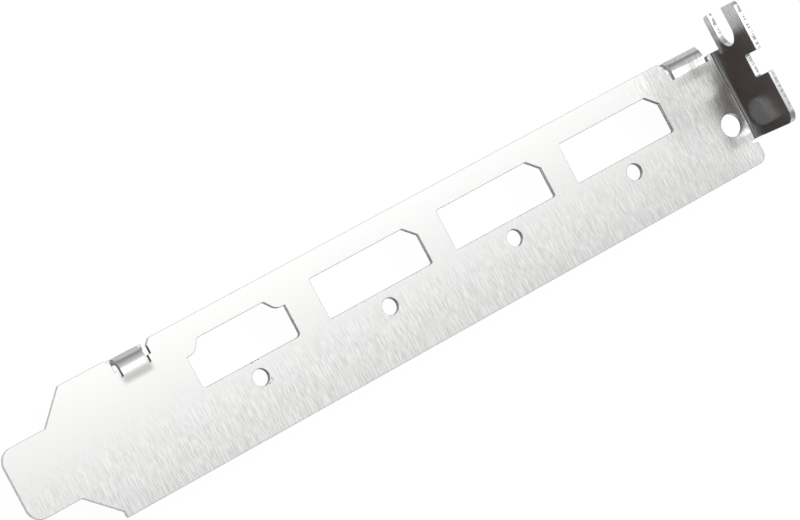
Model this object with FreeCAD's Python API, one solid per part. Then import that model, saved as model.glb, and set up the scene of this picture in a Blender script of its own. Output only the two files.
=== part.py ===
"""Expansion slot bracket for a computer card, folded from one steel sheet (millimetres).

The bracket lies with its outer face up. +X runs along the plate towards the mounting flange, +Y across it
towards the edge that carries the card tabs, and +Z out of the outer face. The origin is the axis of the
chassis screw, on the flange face that sits on the chassis.
"""
import FreeCAD, Part
import math
import os

Vector = FreeCAD.Vector

# Sheet and folds
sheet = 0.86
flange_bend_radius = 0.40
tab_bend_radius = 0.85

# Plate, measured from the tongue's end to the flange's outer face
overall_length = 120.02
panel_width = 18.42
edge_step = 0.90
tongue_width = 10.19
tongue_length = 7.27
tongue_corner_radius = 2.00

# Plate corner beside the flange, and the relief cut that frees the fold from it
plate_corner_radius = 1.40
plate_corner_short = 0.06
relief_width = 0.50
relief_length = 0.66

# Mounting flange and its open screw slot
flange_depth = 11.43
flange_edge_inset = 2.54
flange_reach = 21.30
flange_root_reach = 16.28
flange_root_radius = 0.50
flange_corner_radius = 1.60
finger_set_back = 2.05
finger_corner_radius = 0.75
screw_slot_width = 4.42
screw_slot_across = 18.16
flange_notch_start = 10.36
flange_notch_width = 3.44
flange_notch_depth = 3.65
notch_corner_radius = 0.30

# Port windows, in one row along the plate
port_pitch = 21.00
first_port_from_seat = 19.75
chamfered_port_count = 3
port_sill = 9.05
chamfered_port_width = 17.00
chamfered_port_height = 6.08
chamfered_port_corner = 1.70
window_corner_radius = 0.30
shouldered_port_width = 15.50
shouldered_port_height = 6.28
shouldered_port_top_width = 10.50
shoulder_height = 4.60
shoulder_run = 1.25
shoulder_radius = 1.60
shouldered_corner_radius = 0.55

# Screw holes under the ports, and the round hole beside the flange
port_screw_diameter = 2.40
port_screw_across = 6.70
flange_hole_diameter = 3.40
flange_hole_across = 5.85
flange_hole_from_seat = 2.66

# Card tabs, bent away from the outer face
tab_root_across = 15.45
tab_face_across = 18.16
lower_tab_from_seat = 97.38
lower_tab_width = 3.90
upper_tab_from_seat = 4.38
upper_tab_width = 5.70
tab_depth = 7.20
tab_ear = 0.70
tab_shoulder_drop = 0.25
tab_corner_radius = 1.00
tab_hole_diameter = 2.50
tab_hole_from_tip = 2.15
tab_slit_width = 0.36
tab_slit_length = 1.00
tab_notch_side = 0.84
tab_mouth_chamfer = 0.70

# Places that follow from the sizes above
face_z = -flange_depth / 2
back_z = face_z - sheet
plain_side = -screw_slot_across
tab_side = plain_side + panel_width
plain_edge = plain_side - edge_step
tongue_end = sheet - overall_length
tongue_root = tongue_end + tongue_length
taper_run = (panel_width - tongue_width) / 2
taper_end = tongue_root + taper_run
fold_start = -flange_bend_radius
flange_start = face_z + flange_bend_radius
flange_tip = face_z + flange_depth
flange_low = plain_side + flange_edge_inset
flange_root_top = plain_side + flange_root_reach
tab_root = plain_side + tab_root_across
tab_face = plain_side + tab_face_across
tab_outer_radius = tab_bend_radius + sheet
tab_fold = tab_face - tab_outer_radius
tab_leg_start = face_z - tab_outer_radius
tab_leg_end = face_z - tab_depth
sill = plain_side + port_sill


def rounded_wire(corners, to_space):
    """Closed wire through the corners (a, b, radius), with each corner rounded by its radius."""
    flat = [Vector(a, b, 0) for a, b, radius in corners]
    bends = []
    for i, here in enumerate(flat):
        radius = corners[i][2]
        if radius == 0:
            bends.append((here, here, here))
            continue
        back = (flat[i - 1] - here).normalize()
        ahead = (flat[(i + 1) % len(flat)] - here).normalize()
        half_angle = back.getAngle(ahead) / 2
        reach = radius / math.tan(half_angle)
        crown = radius / math.sin(half_angle) - radius
        middle = here + (back + ahead).normalize() * crown
        bends.append((here + back * reach, middle, here + ahead * reach))
    edges = []
    for i, (start, middle, end) in enumerate(bends):
        if corners[i][2] > 0:
            arc = Part.Arc(to_space(start), to_space(middle), to_space(end))
            edges.append(arc.toShape())
        following = bends[(i + 1) % len(bends)][0]
        edges.append(Part.LineSegment(to_space(end), to_space(following)).toShape())
    return Part.Wire(edges)


def in_plate(point):
    """A flat point (x, y) on the plate's outer face."""
    return Vector(point.x, point.y, face_z)


def in_flange(point):
    """A flat point (y, z) on the flange's seat face."""
    return Vector(0, point.x, point.y)


def in_tab_face(point):
    """A flat point (x, z) on the outer face of the card tabs."""
    return Vector(point.x, tab_face, point.y)


def slab(corners, to_space, direction):
    """A flat piece of sheet with a rounded outline, as thick as the direction is long."""
    return Part.Face(rounded_wire(corners, to_space)).extrude(direction)


def through_cut(corners):
    """A cutter for a window with the given outline, longer than the plate is thick."""
    cutter = slab(corners, in_plate, Vector(0, 0, -3 * sheet))
    cutter.translate(Vector(0, 0, sheet))
    return cutter


def fold(inner, points_of, run):
    """A quarter-round bend between two flat stretches, run along its own axis."""
    outer = inner + sheet

    def quarter(radius):
        middle = radius * math.sqrt(0.5)
        return Part.Arc(points_of(radius, 0), points_of(middle, middle), points_of(0, radius)).toShape()

    section = Part.Wire([
        quarter(inner),
        Part.LineSegment(points_of(0, inner), points_of(0, outer)).toShape(),
        quarter(outer),
        Part.LineSegment(points_of(outer, 0), points_of(inner, 0)).toShape(),
    ])
    return Part.Face(section).extrude(run)


def tab_notch(side, outward):
    """Corners of the relief cut beside a card tab, from the tab's root out to the plate's edge."""
    slit = side + outward * tab_slit_width
    wide = side + outward * tab_notch_side
    mouth = wide + outward * tab_mouth_chamfer
    slit_top = tab_root + tab_slit_length
    return [
        (side, tab_root, 0),
        (slit, tab_root, 0),
        (slit, slit_top, 0),
        (wide, slit_top, 0),
        (wide, tab_side - tab_mouth_chamfer, 0),
        (mouth, tab_side, 0),
    ]


def tab_sides(centre_from_seat, width):
    """The two sides of a card tab's neck, nearer the tongue first."""
    centre = -centre_from_seat
    return centre - width / 2, centre + width / 2


def plate():
    """The flat plate with its tongue, stepped edge, card tab notches and fold reliefs."""
    low_tongue = plain_side + taper_run
    high_tongue = tab_side - taper_run
    corner_x = -plate_corner_short
    relief_x = fold_start - relief_length
    lower_low, lower_high = tab_sides(lower_tab_from_seat, lower_tab_width)
    upper_low, upper_high = tab_sides(upper_tab_from_seat, upper_tab_width)
    slit_x = upper_high + tab_slit_width
    outline = [
        (tongue_end, low_tongue, tongue_corner_radius),
        (tongue_root, low_tongue, 0),
        (taper_end, plain_side, 0),
        (taper_end, plain_edge, 0),
        (corner_x, plain_edge, plate_corner_radius),
        (corner_x, flange_low - relief_width, window_corner_radius),
        (relief_x, flange_low - relief_width, 0),
        (relief_x, flange_low, 0),
        (fold_start, flange_low, 0),
        (fold_start, flange_root_top, 0),
        (slit_x, flange_root_top, flange_root_radius),
        (slit_x, tab_root, 0),
        (upper_high, tab_root, 0),
    ]
    outline += tab_notch(upper_low, -1)
    outline += reversed(tab_notch(lower_high, 1))
    outline += tab_notch(lower_low, -1)
    outline += [
        (taper_end, tab_side, 0),
        (tongue_root, high_tongue, 0),
        (tongue_end, high_tongue, tongue_corner_radius),
    ]
    return slab(outline, in_plate, Vector(0, 0, -sheet))


def flange():
    """The mounting flange: its fold, the fingers round its open screw slot, and its notched free edge."""
    def across(reach):
        return plain_side + reach

    bend = fold(
        flange_bend_radius,
        lambda down, along: Vector(fold_start + along, flange_low, flange_start - down),
        Vector(0, flange_root_top - flange_low, 0),
    )
    notch_floor = flange_tip - flange_notch_depth
    notch_end = flange_notch_start + flange_notch_width
    finger_z = face_z + finger_set_back
    outline = [
        (flange_low, flange_start, 0),
        (flange_low, flange_tip, flange_corner_radius),
        (across(flange_notch_start), flange_tip, 0),
        (across(flange_notch_start), notch_floor, notch_corner_radius),
        (across(notch_end), notch_floor, notch_corner_radius),
        (across(notch_end), flange_tip, 0),
        (across(flange_reach), flange_tip, finger_corner_radius),
        (across(flange_reach), finger_z, finger_corner_radius),
        (flange_root_top, finger_z, 0),
        (flange_root_top, flange_start, 0),
    ]
    leaf = slab(outline, in_flange, Vector(sheet, 0, 0))
    slot_radius = screw_slot_width / 2
    slot_run = across(flange_reach) + sheet
    round_end = Part.makeCylinder(slot_radius, 3 * sheet, Vector(-sheet, 0, 0), Vector(1, 0, 0))
    straight = Part.makeBox(3 * sheet, slot_run, screw_slot_width, Vector(-sheet, 0, -slot_radius))
    return bend.fuse(leaf.cut(round_end.fuse(straight)))


def card_tab(centre_from_seat, width):
    """A card tab: a short neck, its bend away from the outer face, and a wider leg with a screw hole."""
    low, high = tab_sides(centre_from_seat, width)
    neck = Part.makeBox(width, tab_fold - tab_root, sheet, Vector(low, tab_root, back_z))
    bend = fold(
        tab_bend_radius,
        lambda up, along: Vector(low, tab_fold + along, tab_leg_start + up),
        Vector(width, 0, 0),
    )
    shoulder = tab_leg_start - tab_shoulder_drop
    outline = [
        (low, tab_leg_start, 0),
        (low, shoulder, 0),
        (low - tab_ear, shoulder, 0),
        (low - tab_ear, tab_leg_end, tab_corner_radius),
        (high + tab_ear, tab_leg_end, tab_corner_radius),
        (high + tab_ear, shoulder, 0),
        (high, shoulder, 0),
        (high, tab_leg_start, 0),
    ]
    leg = slab(outline, in_tab_face, Vector(0, -sheet, 0))
    hole_at = Vector(-centre_from_seat, tab_face - 2 * sheet, tab_leg_end + tab_hole_from_tip)
    hole = Part.makeCylinder(tab_hole_diameter / 2, 3 * sheet, hole_at, Vector(0, 1, 0))
    return neck.fuse([bend, leg.cut(hole)])


def chamfered_window(centre):
    """A port window with one upper corner cut off, towards the flange."""
    left = centre - chamfered_port_width / 2
    right = centre + chamfered_port_width / 2
    top = sill + chamfered_port_height
    return through_cut([
        (left, sill, window_corner_radius),
        (right, sill, window_corner_radius),
        (right, top - chamfered_port_corner, 0),
        (right - chamfered_port_corner, top, 0),
        (left, top, window_corner_radius),
    ])


def shouldered_window(centre):
    """A port window that is narrower at the top, with a rounded shoulder on each side."""
    half = shouldered_port_width / 2
    half_top = shouldered_port_top_width / 2
    top = sill + shouldered_port_height
    shoulder = sill + shoulder_height
    right_side = [
        (half, sill, shouldered_corner_radius),
        (half, shoulder, 0),
        (half_top + shoulder_run, shoulder, shoulder_radius),
        (half_top, top, window_corner_radius),
    ]
    left_side = [(-x, y, radius) for x, y, radius in reversed(right_side)]
    return through_cut([(centre + x, y, radius) for x, y, radius in right_side + left_side])


def round_hole(x, across, diameter):
    """A cutter for a round hole through the plate."""
    start = Vector(x, plain_side + across, back_z - sheet)
    return Part.makeCylinder(diameter / 2, 3 * sheet, start, Vector(0, 0, 1))


def bracket():
    """The whole bracket as one folded sheet."""
    tabs = [
        card_tab(lower_tab_from_seat, lower_tab_width),
        card_tab(upper_tab_from_seat, upper_tab_width),
    ]
    folded = plate().fuse([flange()] + tabs)
    ports = [-first_port_from_seat - port_pitch * i for i in range(chamfered_port_count + 1)]
    cuts = [chamfered_window(centre) for centre in ports[:-1]]
    cuts.append(shouldered_window(ports[-1]))
    cuts += [round_hole(centre, port_screw_across, port_screw_diameter) for centre in ports]
    cuts.append(round_hole(-flange_hole_from_seat, flange_hole_across, flange_hole_diameter))
    return folded.cut(cuts).removeSplitter()


os.makedirs("parts", exist_ok=True)
shape = bracket()
print("valid", shape.isValid(), "solids", len(shape.Solids), "volume", round(shape.Volume, 2))
print("box", shape.BoundBox)
shape.exportStep("parts/bracket.step")
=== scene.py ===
import math
import bmesh
import bpy
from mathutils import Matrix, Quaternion, Vector
from mathutils.bvhtree import BVHTree


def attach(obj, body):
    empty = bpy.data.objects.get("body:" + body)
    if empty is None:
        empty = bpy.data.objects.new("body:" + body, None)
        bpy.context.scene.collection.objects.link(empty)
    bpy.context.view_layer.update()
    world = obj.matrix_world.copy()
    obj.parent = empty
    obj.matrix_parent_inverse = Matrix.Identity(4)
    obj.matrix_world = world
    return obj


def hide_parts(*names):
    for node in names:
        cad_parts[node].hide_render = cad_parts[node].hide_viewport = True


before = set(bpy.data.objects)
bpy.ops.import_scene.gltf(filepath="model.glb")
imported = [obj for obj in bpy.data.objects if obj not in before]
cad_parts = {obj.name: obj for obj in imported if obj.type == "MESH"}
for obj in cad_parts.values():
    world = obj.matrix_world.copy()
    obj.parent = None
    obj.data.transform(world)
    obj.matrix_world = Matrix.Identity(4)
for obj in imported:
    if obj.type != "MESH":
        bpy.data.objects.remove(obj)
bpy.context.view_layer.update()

# The bracket
# One sheet of plain steel, brushed across its width, punched to outline and folded three times: the flange
# towards the viewer and the two card tabs away from the viewer. The punch rolls its edges a little.
sheet_thickness = 0.00086
plate_outer_z = -0.005715
plate_back_z = plate_outer_z - sheet_thickness
edge_roll = 0.00007
sharp_edge = math.radians(30)
still_flat = math.radians(0.2)
touching = 1e-6

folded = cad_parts["bracket"]
sheet = bpy.data.meshes.new("bracket_sheet")
sheet.from_pydata(
    [vertex.co for vertex in folded.data.vertices],
    [],
    [polygon.vertices[:] for polygon in folded.data.polygons],
)
bracket = bpy.data.objects.new("bracket_sheet", sheet)
bpy.context.scene.collection.objects.link(bracket)

# A face of the sheet's skin has the other skin one sheet thickness behind it, and a punched face has not.
skin, cut = 0, 1
thickness_slack = 0.04 * sheet_thickness
solid = BVHTree.FromPolygons(
    [vertex.co for vertex in sheet.vertices],
    [polygon.vertices[:] for polygon in sheet.polygons],
)
for polygon in sheet.polygons:
    inward = -polygon.normal
    behind = solid.ray_cast(polygon.center + inward * touching, inward)[3]
    is_skin = behind is not None and abs(behind - sheet_thickness) < thickness_slack
    polygon.material_index = skin if is_skin else cut

# The flat faces become whole faces, so that the rolled edges run clean round every window and hole.
work = bmesh.new()
work.from_mesh(sheet)
bmesh.ops.remove_doubles(work, verts=work.verts, dist=touching)
bmesh.ops.dissolve_limit(
    work,
    angle_limit=still_flat,
    use_dissolve_boundaries=False,
    verts=work.verts,
    edges=work.edges,
    delimit={"MATERIAL"},
)
work.to_mesh(sheet)
work.free()
sheet.shade_smooth()

# The map lays the folded sheet flat, in millimetres: U runs along the plate and on up the flange, across the
# grain, and V runs with the grain and on down the tabs. On a cut face, U runs along the cut and V is the depth
# below the skin that shows.
mm_per_m = 1000
flat = sheet.uv_layers.new(name="flat_sheet")
for polygon in sheet.polygons:
    normal = polygon.normal
    for loop in polygon.loop_indices:
        x, y, z = sheet.vertices[sheet.loops[loop].vertex_index].co
        if polygon.material_index == skin:
            u = x + max(z, plate_back_z)
            v = y - min(z, plate_back_z)
        elif polygon.center.z < plate_back_z:
            u = z * normal.x - x * normal.z
            v = -y
        elif polygon.center.z < plate_outer_z + touching:
            u = y * normal.x - x * normal.y
            v = plate_outer_z - z
        else:
            u = z * normal.y - y * normal.z
            v = x
        flat.uv[loop].vector = (u * mm_per_m, v * mm_per_m)

roll = bracket.modifiers.new("rolled_edges", "BEVEL")
roll.limit_method = "ANGLE"
roll.angle_limit = sharp_edge
roll.width = edge_roll
roll.segments = 3
roll.use_clamp_overlap = False
roll.loop_slide = False
roll.harden_normals = True


def add_node(tree, kind, name, **values):
    node = tree.nodes.new(kind)
    node.name = name
    node.label = name
    for key, value in values.items():
        setattr(node, key, value)
    return node


def plug(tree, socket, value):
    """Sets a socket to a number or colour, or links it to another node's output."""
    if isinstance(value, bpy.types.NodeSocket):
        tree.links.new(value, socket)
    else:
        socket.default_value = value


def add_math(tree, name, operation, *values):
    node = add_node(tree, "ShaderNodeMath", name, operation=operation)
    for socket, value in zip(node.inputs, values):
        plug(tree, socket, value)
    return node.outputs[0]


def add_range(tree, name, value, low, high, to_low, to_high, smooth=False):
    node = add_node(tree, "ShaderNodeMapRange", name)
    if smooth:
        node.interpolation_type = "SMOOTHSTEP"
    keys = ("Value", "From Min", "From Max", "To Min", "To Max")
    for key, number in zip(keys, (value, low, high, to_low, to_high)):
        plug(tree, node.inputs[key], number)
    return node.outputs["Result"]


def add_mix(tree, name, share, first, second, blend="MIX"):
    """Mixes two colours. The node's colours are its sockets 6 and 7, and its result is output 2."""
    node = add_node(tree, "ShaderNodeMix", name, data_type="RGBA", blend_type=blend)
    plug(tree, node.inputs[0], share)
    plug(tree, node.inputs[6], first)
    plug(tree, node.inputs[7], second)
    return node.outputs[2]


def add_map(tree):
    """The place on the sheet's map: U and V, in millimetres."""
    sheet_map = add_node(tree, "ShaderNodeUVMap", "sheet map", uv_map="flat_sheet")
    split = add_node(tree, "ShaderNodeSeparateXYZ", "split")
    plug(tree, split.inputs[0], sheet_map.outputs["UV"])
    return split.outputs["X"], split.outputs["Y"]


def add_bump(tree, name, distance, height):
    node = add_node(tree, "ShaderNodeBump", name)
    node.inputs["Strength"].default_value = 1.0
    node.inputs["Distance"].default_value = distance
    plug(tree, node.inputs["Height"], height)
    return node


def new_group(name, inputs, output):
    """A shader node group that reads the sheet's map and puts out one value."""
    group = bpy.data.node_groups.new(name, "ShaderNodeTree")
    for socket_name in inputs:
        group.interface.new_socket(socket_name, in_out="INPUT", socket_type="NodeSocketFloat")
    group.interface.new_socket(output, in_out="OUTPUT", socket_type="NodeSocketFloat")
    given = add_node(group, "NodeGroupInput", "given")
    result = add_node(group, "NodeGroupOutput", "result")
    u, v = add_map(group)
    return group, given.outputs, u, v, result.inputs[output]


def place_group(tree, group, name, *values):
    node = add_node(tree, "ShaderNodeGroup", name, node_tree=group)
    for socket, value in zip(node.inputs, values):
        plug(tree, socket, value)
    return node.outputs[0]


def new_steel(name):
    material = bpy.data.materials.new(name)
    material.use_nodes = True
    shader = material.node_tree.nodes["Principled BSDF"]
    shader.inputs["Metallic"].default_value = 1.0
    return material, material.node_tree, shader


# Streaks that a brush or a punch leaves: noise drawn out along V, so many to the millimetre along U.
streaks, given, u, v, streak = new_group("drawn_streaks", ("Per mm of U", "Per mm of V", "Seed"), "Streak")
place = add_node(streaks, "ShaderNodeCombineXYZ", "place")
plug(streaks, place.inputs["X"], add_math(streaks, "along U", "MULTIPLY", u, given["Per mm of U"]))
plug(streaks, place.inputs["Y"], add_math(streaks, "along V", "MULTIPLY", v, given["Per mm of V"]))
plug(streaks, place.inputs["Z"], given["Seed"])
drawn = add_node(streaks, "ShaderNodeTexNoise", "drawn noise")
drawn.inputs["Scale"].default_value = 1.0
drawn.inputs["Detail"].default_value = 0.0
plug(streaks, drawn.inputs["Vector"], place.outputs[0])
plug(streaks, streak, drawn.outputs["Fac"])

# The sheet bulges a little where a tab's neck was bent, and the neck leans towards the bend.
neck_fade = (-0.3, 0.8)
rise_run = 1.7
lean_run = 3.1
lean_drop = 0.27
bulge, given, u, v, height = new_group("neck_bulge", ("Tab centre", "Half width", "Bend V", "Rise"), "Height")
aside = add_math(bulge, "aside", "SUBTRACT", u, given["Tab centre"])
from_centre = add_math(bulge, "from centre", "ABSOLUTE", aside)
outside = add_math(bulge, "outside", "SUBTRACT", from_centre, given["Half width"])
on_neck = add_range(bulge, "on the neck", outside, *neck_fade, 1.0, 0.0, smooth=True)
to_bend = add_math(bulge, "to the bend", "SUBTRACT", v, given["Bend V"])
rise = add_range(bulge, "rise", to_bend, -rise_run, 0.0, 0.0, given["Rise"], smooth=True)
lean = add_range(bulge, "lean", to_bend, 0.0, lean_run, 0.0, -lean_drop)
profile = add_math(bulge, "profile", "ADD", rise, lean)
plug(bulge, height, add_math(bulge, "bulge", "MULTIPLY", profile, on_neck))

# The fold has drawn up the plate's end: it curls towards the fold, more so at the fold's two ends than at the
# hole, and rises between the fold and the tab.
fold_u = -5.7
curl_run = 9.5
end_curl_run = 4.0
drawn_end, given, u, v, height = new_group("drawn_end", ("Curl", "End curl", "Rise"), "Height")
to_fold = add_range(drawn_end, "to the fold", u, fold_u - curl_run, fold_u, 0.0, 1.0)
curling = add_math(drawn_end, "curling", "MULTIPLY", to_fold, to_fold)
curled = add_math(drawn_end, "curled", "MULTIPLY", curling, given["Curl"])
at_fold = add_range(drawn_end, "at the fold", u, fold_u - end_curl_run, fold_u, 0.0, 1.0)
turning = add_math(drawn_end, "turning", "MULTIPLY", at_fold, at_fold)
above_hole = add_range(drawn_end, "above the hole", v, -2.0, 4.0, 0.0, 1.0, smooth=True)
below_hole = add_range(drawn_end, "below the hole", v, -8.0, -6.0, 1.0, 0.0, smooth=True)
off_hole = add_math(drawn_end, "off the hole", "ADD", above_hole, below_hole)
turned = add_math(drawn_end, "turned", "MULTIPLY", turning, off_hole)
curled_ends = add_math(drawn_end, "curled ends", "MULTIPLY_ADD", turned, given["End curl"], curled)
near_fold = add_range(drawn_end, "near the fold", u, -20.0, -16.5, 0.0, 1.0, smooth=True)
up_plate = add_range(drawn_end, "up the plate", v, -6.0, 10.0, 0.0, 1.0, smooth=True)
rising = add_math(drawn_end, "rising", "MULTIPLY", near_fold, up_plate)
rise = add_math(drawn_end, "rise", "MULTIPLY", rising, given["Rise"])
plug(drawn_end, height, add_math(drawn_end, "drawn", "ADD", curled_ends, rise))

# A small mark on the skin: a ragged spot at a place on the sheet's map.
mark, given, u, v, spot = new_group("small_mark", ("Mark U", "Mark V", "Half U", "Half V"), "Spot")
off_u = add_math(mark, "off U", "SUBTRACT", u, given["Mark U"])
off_v = add_math(mark, "off V", "SUBTRACT", v, given["Mark V"])
aside = add_math(mark, "aside", "DIVIDE", off_u, given["Half U"])
beyond = add_math(mark, "beyond", "DIVIDE", off_v, given["Half V"])
aside_squared = add_math(mark, "aside squared", "MULTIPLY", aside, aside)
reach = add_math(mark, "reach", "MULTIPLY_ADD", beyond, beyond, aside_squared)
ragged = place_group(mark, streaks, "ragged", 9.0, 9.0, 31.0)
rag = add_range(mark, "rag", ragged, 0.3, 0.7, 0.5, 1.9)
worn = add_math(mark, "worn", "MULTIPLY", reach, rag)
plug(mark, spot, add_range(mark, "spot", worn, 0.6, 1.3, 1.0, 0.0, smooth=True))

# The brushed skin: fine grain over longer hairs, in two tones of steel with a faint relief. The grain bites
# deepest by the plain edge and by the fold, and the skin shines more where the fold has stretched it.
grain_dark = (0.64, 0.64, 0.635, 1)
grain_bright = (0.83, 0.83, 0.825, 1)
cool_tint = (0.985, 0.99, 1.0, 1)
warm_tint = (1.0, 0.99, 0.975, 1)
plate_rough = 0.28
fold_rough = 0.20
grain_depth = 0.000003
brushed_skin, tree, shader = new_steel("brushed_skin")
shader.inputs["Anisotropic"].default_value = 0.2
u, v = add_map(tree)
fine = place_group(tree, streaks, "fine grain", 9.0, 0.9, 0.0)
hairs = place_group(tree, streaks, "long hairs", 6.5, 0.3, 7.0)
drift = place_group(tree, streaks, "slow drift", 0.12, 0.10, 13.0)
fine_share = add_math(tree, "fine share", "MULTIPLY", fine, 0.5)
grain = add_math(tree, "grain", "MULTIPLY_ADD", hairs, 0.5, fine_share)
shine = add_range(tree, "grain shine", grain, 0.38, 0.62, 0.0, 1.0)
by_plain_edge = add_range(tree, "by the plain edge", v, 0.5, -8.5, 0.0, 1.0, smooth=True)
by_fold = add_range(tree, "by the fold", u, -23.0, -17.0, 0.0, 1.0, smooth=True)
bite = add_math(tree, "bite", "MAXIMUM", by_plain_edge, by_fold)
swing = add_math(tree, "swing", "SUBTRACT", shine, 0.5)
toned = add_math(tree, "toned", "MULTIPLY_ADD", swing, bite, 0.5)
tone = add_mix(tree, "grain tone", toned, grain_dark, grain_bright)
tint = add_mix(tree, "drift tint", drift, cool_tint, warm_tint)
colour = add_mix(tree, "tinted tone", 1.0, tone, tint, "MULTIPLY")
dark_brown = (0.045, 0.030, 0.022, 1)
light_brown = (0.42, 0.31, 0.24, 1)
dull_grey = (0.10, 0.10, 0.10, 1)
for name, mark_u, mark_v, half_u, half_v, mark_colour in (
    ("hole chip", -87.58, -5.67, 0.11, 0.12, dark_brown),
    ("hole smear", -87.72, -6.10, 0.26, 0.10, light_brown),
    ("hole stain", -87.20, -5.70, 0.10, 0.22, light_brown),
    ("sill burr one", -88.62, -2.60, 0.15, 0.07, dull_grey),
    ("sill burr two", -88.10, -2.59, 0.08, 0.05, dull_grey),
    ("sill burr three", -87.64, -2.60, 0.11, 0.06, dull_grey),
    ("jamb nick", -80.70, -0.28, 0.08, 0.10, dull_grey),
    ("plate speck", -99.74, -9.24, 0.06, 0.06, dull_grey),
):
    stained = place_group(tree, mark, name, mark_u, mark_v, half_u, half_v)
    colour = add_mix(tree, name + " colour", stained, colour, mark_colour)
plug(tree, shader.inputs["Base Color"], colour)
rough = add_range(tree, "gloss", u, -15.0, -11.0, plate_rough, fold_rough, smooth=True)
plug(tree, shader.inputs["Roughness"], rough)
lower_neck = place_group(tree, bulge, "lower tab's neck", -103.10, 1.95, 4.3, 0.055)
upper_neck = place_group(tree, bulge, "upper tab's neck", -10.10, 2.85, 3.9, 0.008)
both_necks = add_math(tree, "necks", "ADD", lower_neck, upper_neck)
plate_end = place_group(tree, drawn_end, "plate's end", 0.65, 0.30, 0.23)
bent = add_math(tree, "bent", "ADD", both_necks, plate_end)
relief = add_bump(tree, "grain relief", grain_depth, grain)
bends = add_bump(tree, "bends", 1 / mm_per_m, bent)
plug(tree, bends.inputs["Normal"], relief.outputs["Normal"])
plug(tree, shader.inputs["Normal"], bends.outputs["Normal"])
across_grain = add_node(tree, "ShaderNodeTangent", "across the grain", direction_type="UV_MAP")
across_grain.uv_map = "flat_sheet"
plug(tree, shader.inputs["Tangent"], across_grain.outputs["Tangent"])

# The cut faces: smooth and bright where the punch slid, and ticked with short lines where the sheet broke.
slid_bright = (0.84, 0.84, 0.84, 1)
broken_dull = (0.60, 0.60, 0.60, 1)
slid_rough = 0.28
broken_rough = 0.5
tick_depth = 0.00001
punched_cut, tree, shader = new_steel("punched_cut")
u, v = add_map(tree)
ticks = place_group(tree, streaks, "shear ticks", 5.2, 0.5, 21.0)
waver = place_group(tree, streaks, "break line", 1.5, 1.0, 27.0)
below = add_math(tree, "depth with waver", "MULTIPLY_ADD", waver, 0.3, v)
broken = add_range(tree, "broken", below, 0.48, 0.62, 0.0, 1.0, smooth=True)
ticked = add_range(tree, "ticked", ticks, 0.44, 0.56, 1.0, 0.0, smooth=True)
dull = add_math(tree, "dull", "MULTIPLY", broken, ticked)
cut_tone = add_mix(tree, "cut tone", dull, slid_bright, broken_dull)
plug(tree, shader.inputs["Base Color"], cut_tone)
cut_gloss = add_range(tree, "cut gloss", dull, 0.0, 1.0, slid_rough, broken_rough)
plug(tree, shader.inputs["Roughness"], cut_gloss)
ticked_break = add_math(tree, "ticked break", "MULTIPLY", ticks, broken)
relief = add_bump(tree, "cut relief", tick_depth, ticked_break)
plug(tree, shader.inputs["Normal"], relief.outputs["Normal"])

sheet.materials.append(brushed_skin)
sheet.materials.append(punched_cut)
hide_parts("bracket")
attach(bracket, "root")

# The floor
# A plain white table top under the tabs. It is white to the camera and in the steel, keeps a faint shadow, and
# is dim in the steel close to the bracket, where the bracket shades it.
floor_z = -0.012925
floor_half = 6.0
floor_colour = (0.85, 0.85, 0.85, 1)
shadow_colour = (0.15, 0.15, 0.15, 1)
shade_reach = 0.06
white_in_picture = 0.95
white_in_steel = 0.66
shaded_in_steel = 0.06
floor_mesh = bpy.data.meshes.new("floor")
floor_mesh.from_pydata(
    [
        (-floor_half, -floor_half, floor_z),
        (floor_half, -floor_half, floor_z),
        (floor_half, floor_half, floor_z),
        (-floor_half, floor_half, floor_z),
    ],
    [],
    [(0, 1, 2, 3)],
)
floor = bpy.data.objects.new("floor", floor_mesh)
bpy.context.scene.collection.objects.link(floor)
floor_white = bpy.data.materials.new("floor_white")
floor_white.use_nodes = True
tree = floor_white.node_tree
tree.nodes.clear()
path = add_node(tree, "ShaderNodeLightPath", "path")
to_camera = path.outputs["Is Camera Ray"]
matt = add_node(tree, "ShaderNodeBsdfDiffuse", "matt white")
plug(tree, matt.inputs["Color"], floor_colour)
shaded = add_node(tree, "ShaderNodeBsdfDiffuse", "matt with shadow")
plug(tree, shaded.inputs["Color"], shadow_colour)
near = add_node(tree, "ShaderNodeAmbientOcclusion", "near the bracket", samples=8)
near.inputs["Distance"].default_value = shade_reach
open_sky = near.outputs["AO"]
in_steel = add_range(tree, "white in the steel", open_sky, 0.40, 0.62, shaded_in_steel, white_in_steel)
level = add_range(tree, "picture or steel", to_camera, 0.0, 1.0, in_steel, white_in_picture)
white = add_node(tree, "ShaderNodeEmission", "white")
plug(tree, white.inputs["Strength"], level)
both = add_node(tree, "ShaderNodeAddShader", "shadow and white")
plug(tree, both.inputs[0], shaded.outputs[0])
plug(tree, both.inputs[1], white.outputs[0])
mirrored = path.outputs["Is Glossy Ray"]
through = path.outputs["Is Transmission Ray"]
in_object = add_math(tree, "mirrored or through", "MAXIMUM", mirrored, through)
seen = add_math(tree, "seen", "MAXIMUM", to_camera, in_object)
choice = add_node(tree, "ShaderNodeMixShader", "seen or lit")
plug(tree, choice.inputs[0], seen)
plug(tree, choice.inputs[1], matt.outputs[0])
plug(tree, choice.inputs[2], both.outputs[0])
floor_out = add_node(tree, "ShaderNodeOutputMaterial", "out")
plug(tree, floor_out.inputs["Surface"], choice.outputs[0])
floor_mesh.materials.append(floor_white)

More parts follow.
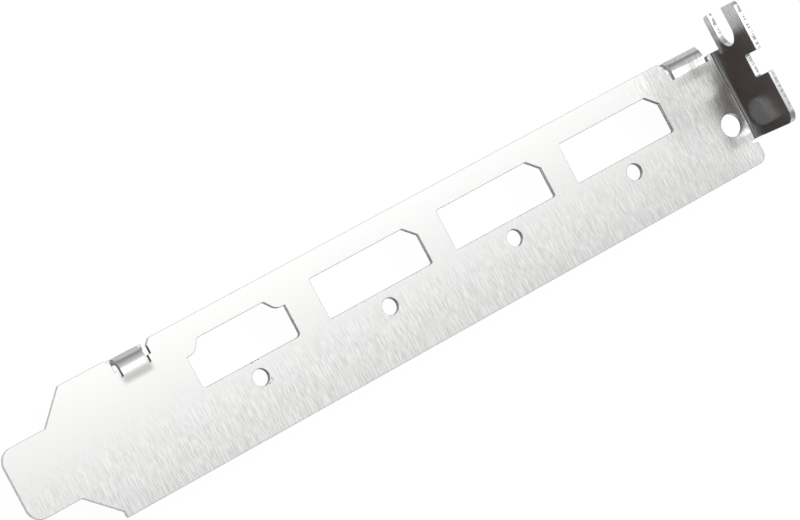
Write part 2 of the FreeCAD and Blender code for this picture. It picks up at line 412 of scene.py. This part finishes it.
# The light
# One soft box over the plate, tipped towards it, which the plate mirrors to the camera. It ends just past the
# plate's plain edge, so that the plate greys towards that edge.
box_x = 0.157
box_y = (-0.035, 0.17)
box_z = 0.565
box_length = 0.49
box_tip = math.radians(25)
box_twist = math.radians(3.5)
radiance = 1.36
lamp = bpy.data.lights.new("soft_box", "AREA")
lamp.shape = "RECTANGLE"
lamp.size = box_length
lamp.size_y = box_y[1] - box_y[0]
lamp.energy = radiance * math.pi * lamp.size * lamp.size_y
soft_box = bpy.data.objects.new("soft_box", lamp)
soft_box.location = (box_x, sum(box_y) / 2, box_z)
soft_box.rotation_euler = (0, box_tip, box_twist)
bpy.context.scene.collection.objects.link(soft_box)

# The room
# Pale walls all round, a ceiling that glows above the tabs' side, and a dark brown corner high up behind the
# tongue's end, which the flange mirrors.
wall_level = 0.31
ceiling_level = 0.60
corner_way = (-0.71, 0.0, 0.70)
corner_brown = (0.115, 0.098, 0.095, 1)
deep_brown = (0.066, 0.052, 0.051, 1)
room = bpy.data.worlds.new("room")
room.use_nodes = True
tree = room.node_tree
facing = add_node(tree, "ShaderNodeTexCoord", "facing")
split = add_node(tree, "ShaderNodeSeparateXYZ", "split")
plug(tree, split.inputs[0], facing.outputs["Generated"])
glow = add_range(tree, "ceiling glow", split.outputs["Z"], 0.25, 1.0, 0.0, ceiling_level)
tab_side = add_range(tree, "tab side", split.outputs["Y"], -0.16, 0.14, 0.0, 1.0, smooth=True)
pale = add_math(tree, "pale", "MULTIPLY_ADD", glow, tab_side, wall_level)
grey = add_node(tree, "ShaderNodeCombineColor", "grey")
for channel in grey.inputs:
    plug(tree, channel, pale)
to_corner = add_node(tree, "ShaderNodeVectorMath", "towards the dark corner", operation="DOT_PRODUCT")
plug(tree, to_corner.inputs[0], facing.outputs["Generated"])
plug(tree, to_corner.inputs[1], corner_way)
around = add_range(tree, "dark round", to_corner.outputs["Value"], 0.72, 0.84, 0.0, 1.0, smooth=True)
upper = add_range(tree, "upper wall", split.outputs["Z"], 0.37, 0.49, 0.0, 1.0, smooth=True)
dark = add_math(tree, "dark corner", "MULTIPLY", around, upper)
deep = add_range(tree, "into the corner", split.outputs["X"], -0.45, -0.68, 0.0, 1.0)
brown = add_mix(tree, "corner brown", deep, corner_brown, deep_brown)
walls = add_mix(tree, "walls", dark, grey.outputs[0], brown)
background = tree.nodes["Background"]
plug(tree, background.inputs["Color"], walls)
bpy.context.scene.world = room

# The camera
# A long lens from above the tongue, turned so that the plate runs up to the right across the picture.
camera_place = Vector((-0.2199, 0.00297, 0.38808))
camera_aim = Vector((-0.05733, -0.00660, plate_outer_z))
camera_roll = math.radians(65.09)
lens = bpy.data.cameras.new("camera")
lens.lens = 141.85
lens.sensor_width = 36.0
camera = bpy.data.objects.new("camera", lens)
camera.location = camera_place
camera.rotation_mode = "QUATERNION"
upright = (camera_aim - camera_place).to_track_quat("-Z", "Y")
camera.rotation_quaternion = upright @ Quaternion((0, 0, 1), camera_roll)
bpy.context.scene.collection.objects.link(camera)
bpy.context.scene.camera = camera
bpy.context.scene.view_settings.view_transform = "Standard"

bpy.context.view_layer.update()
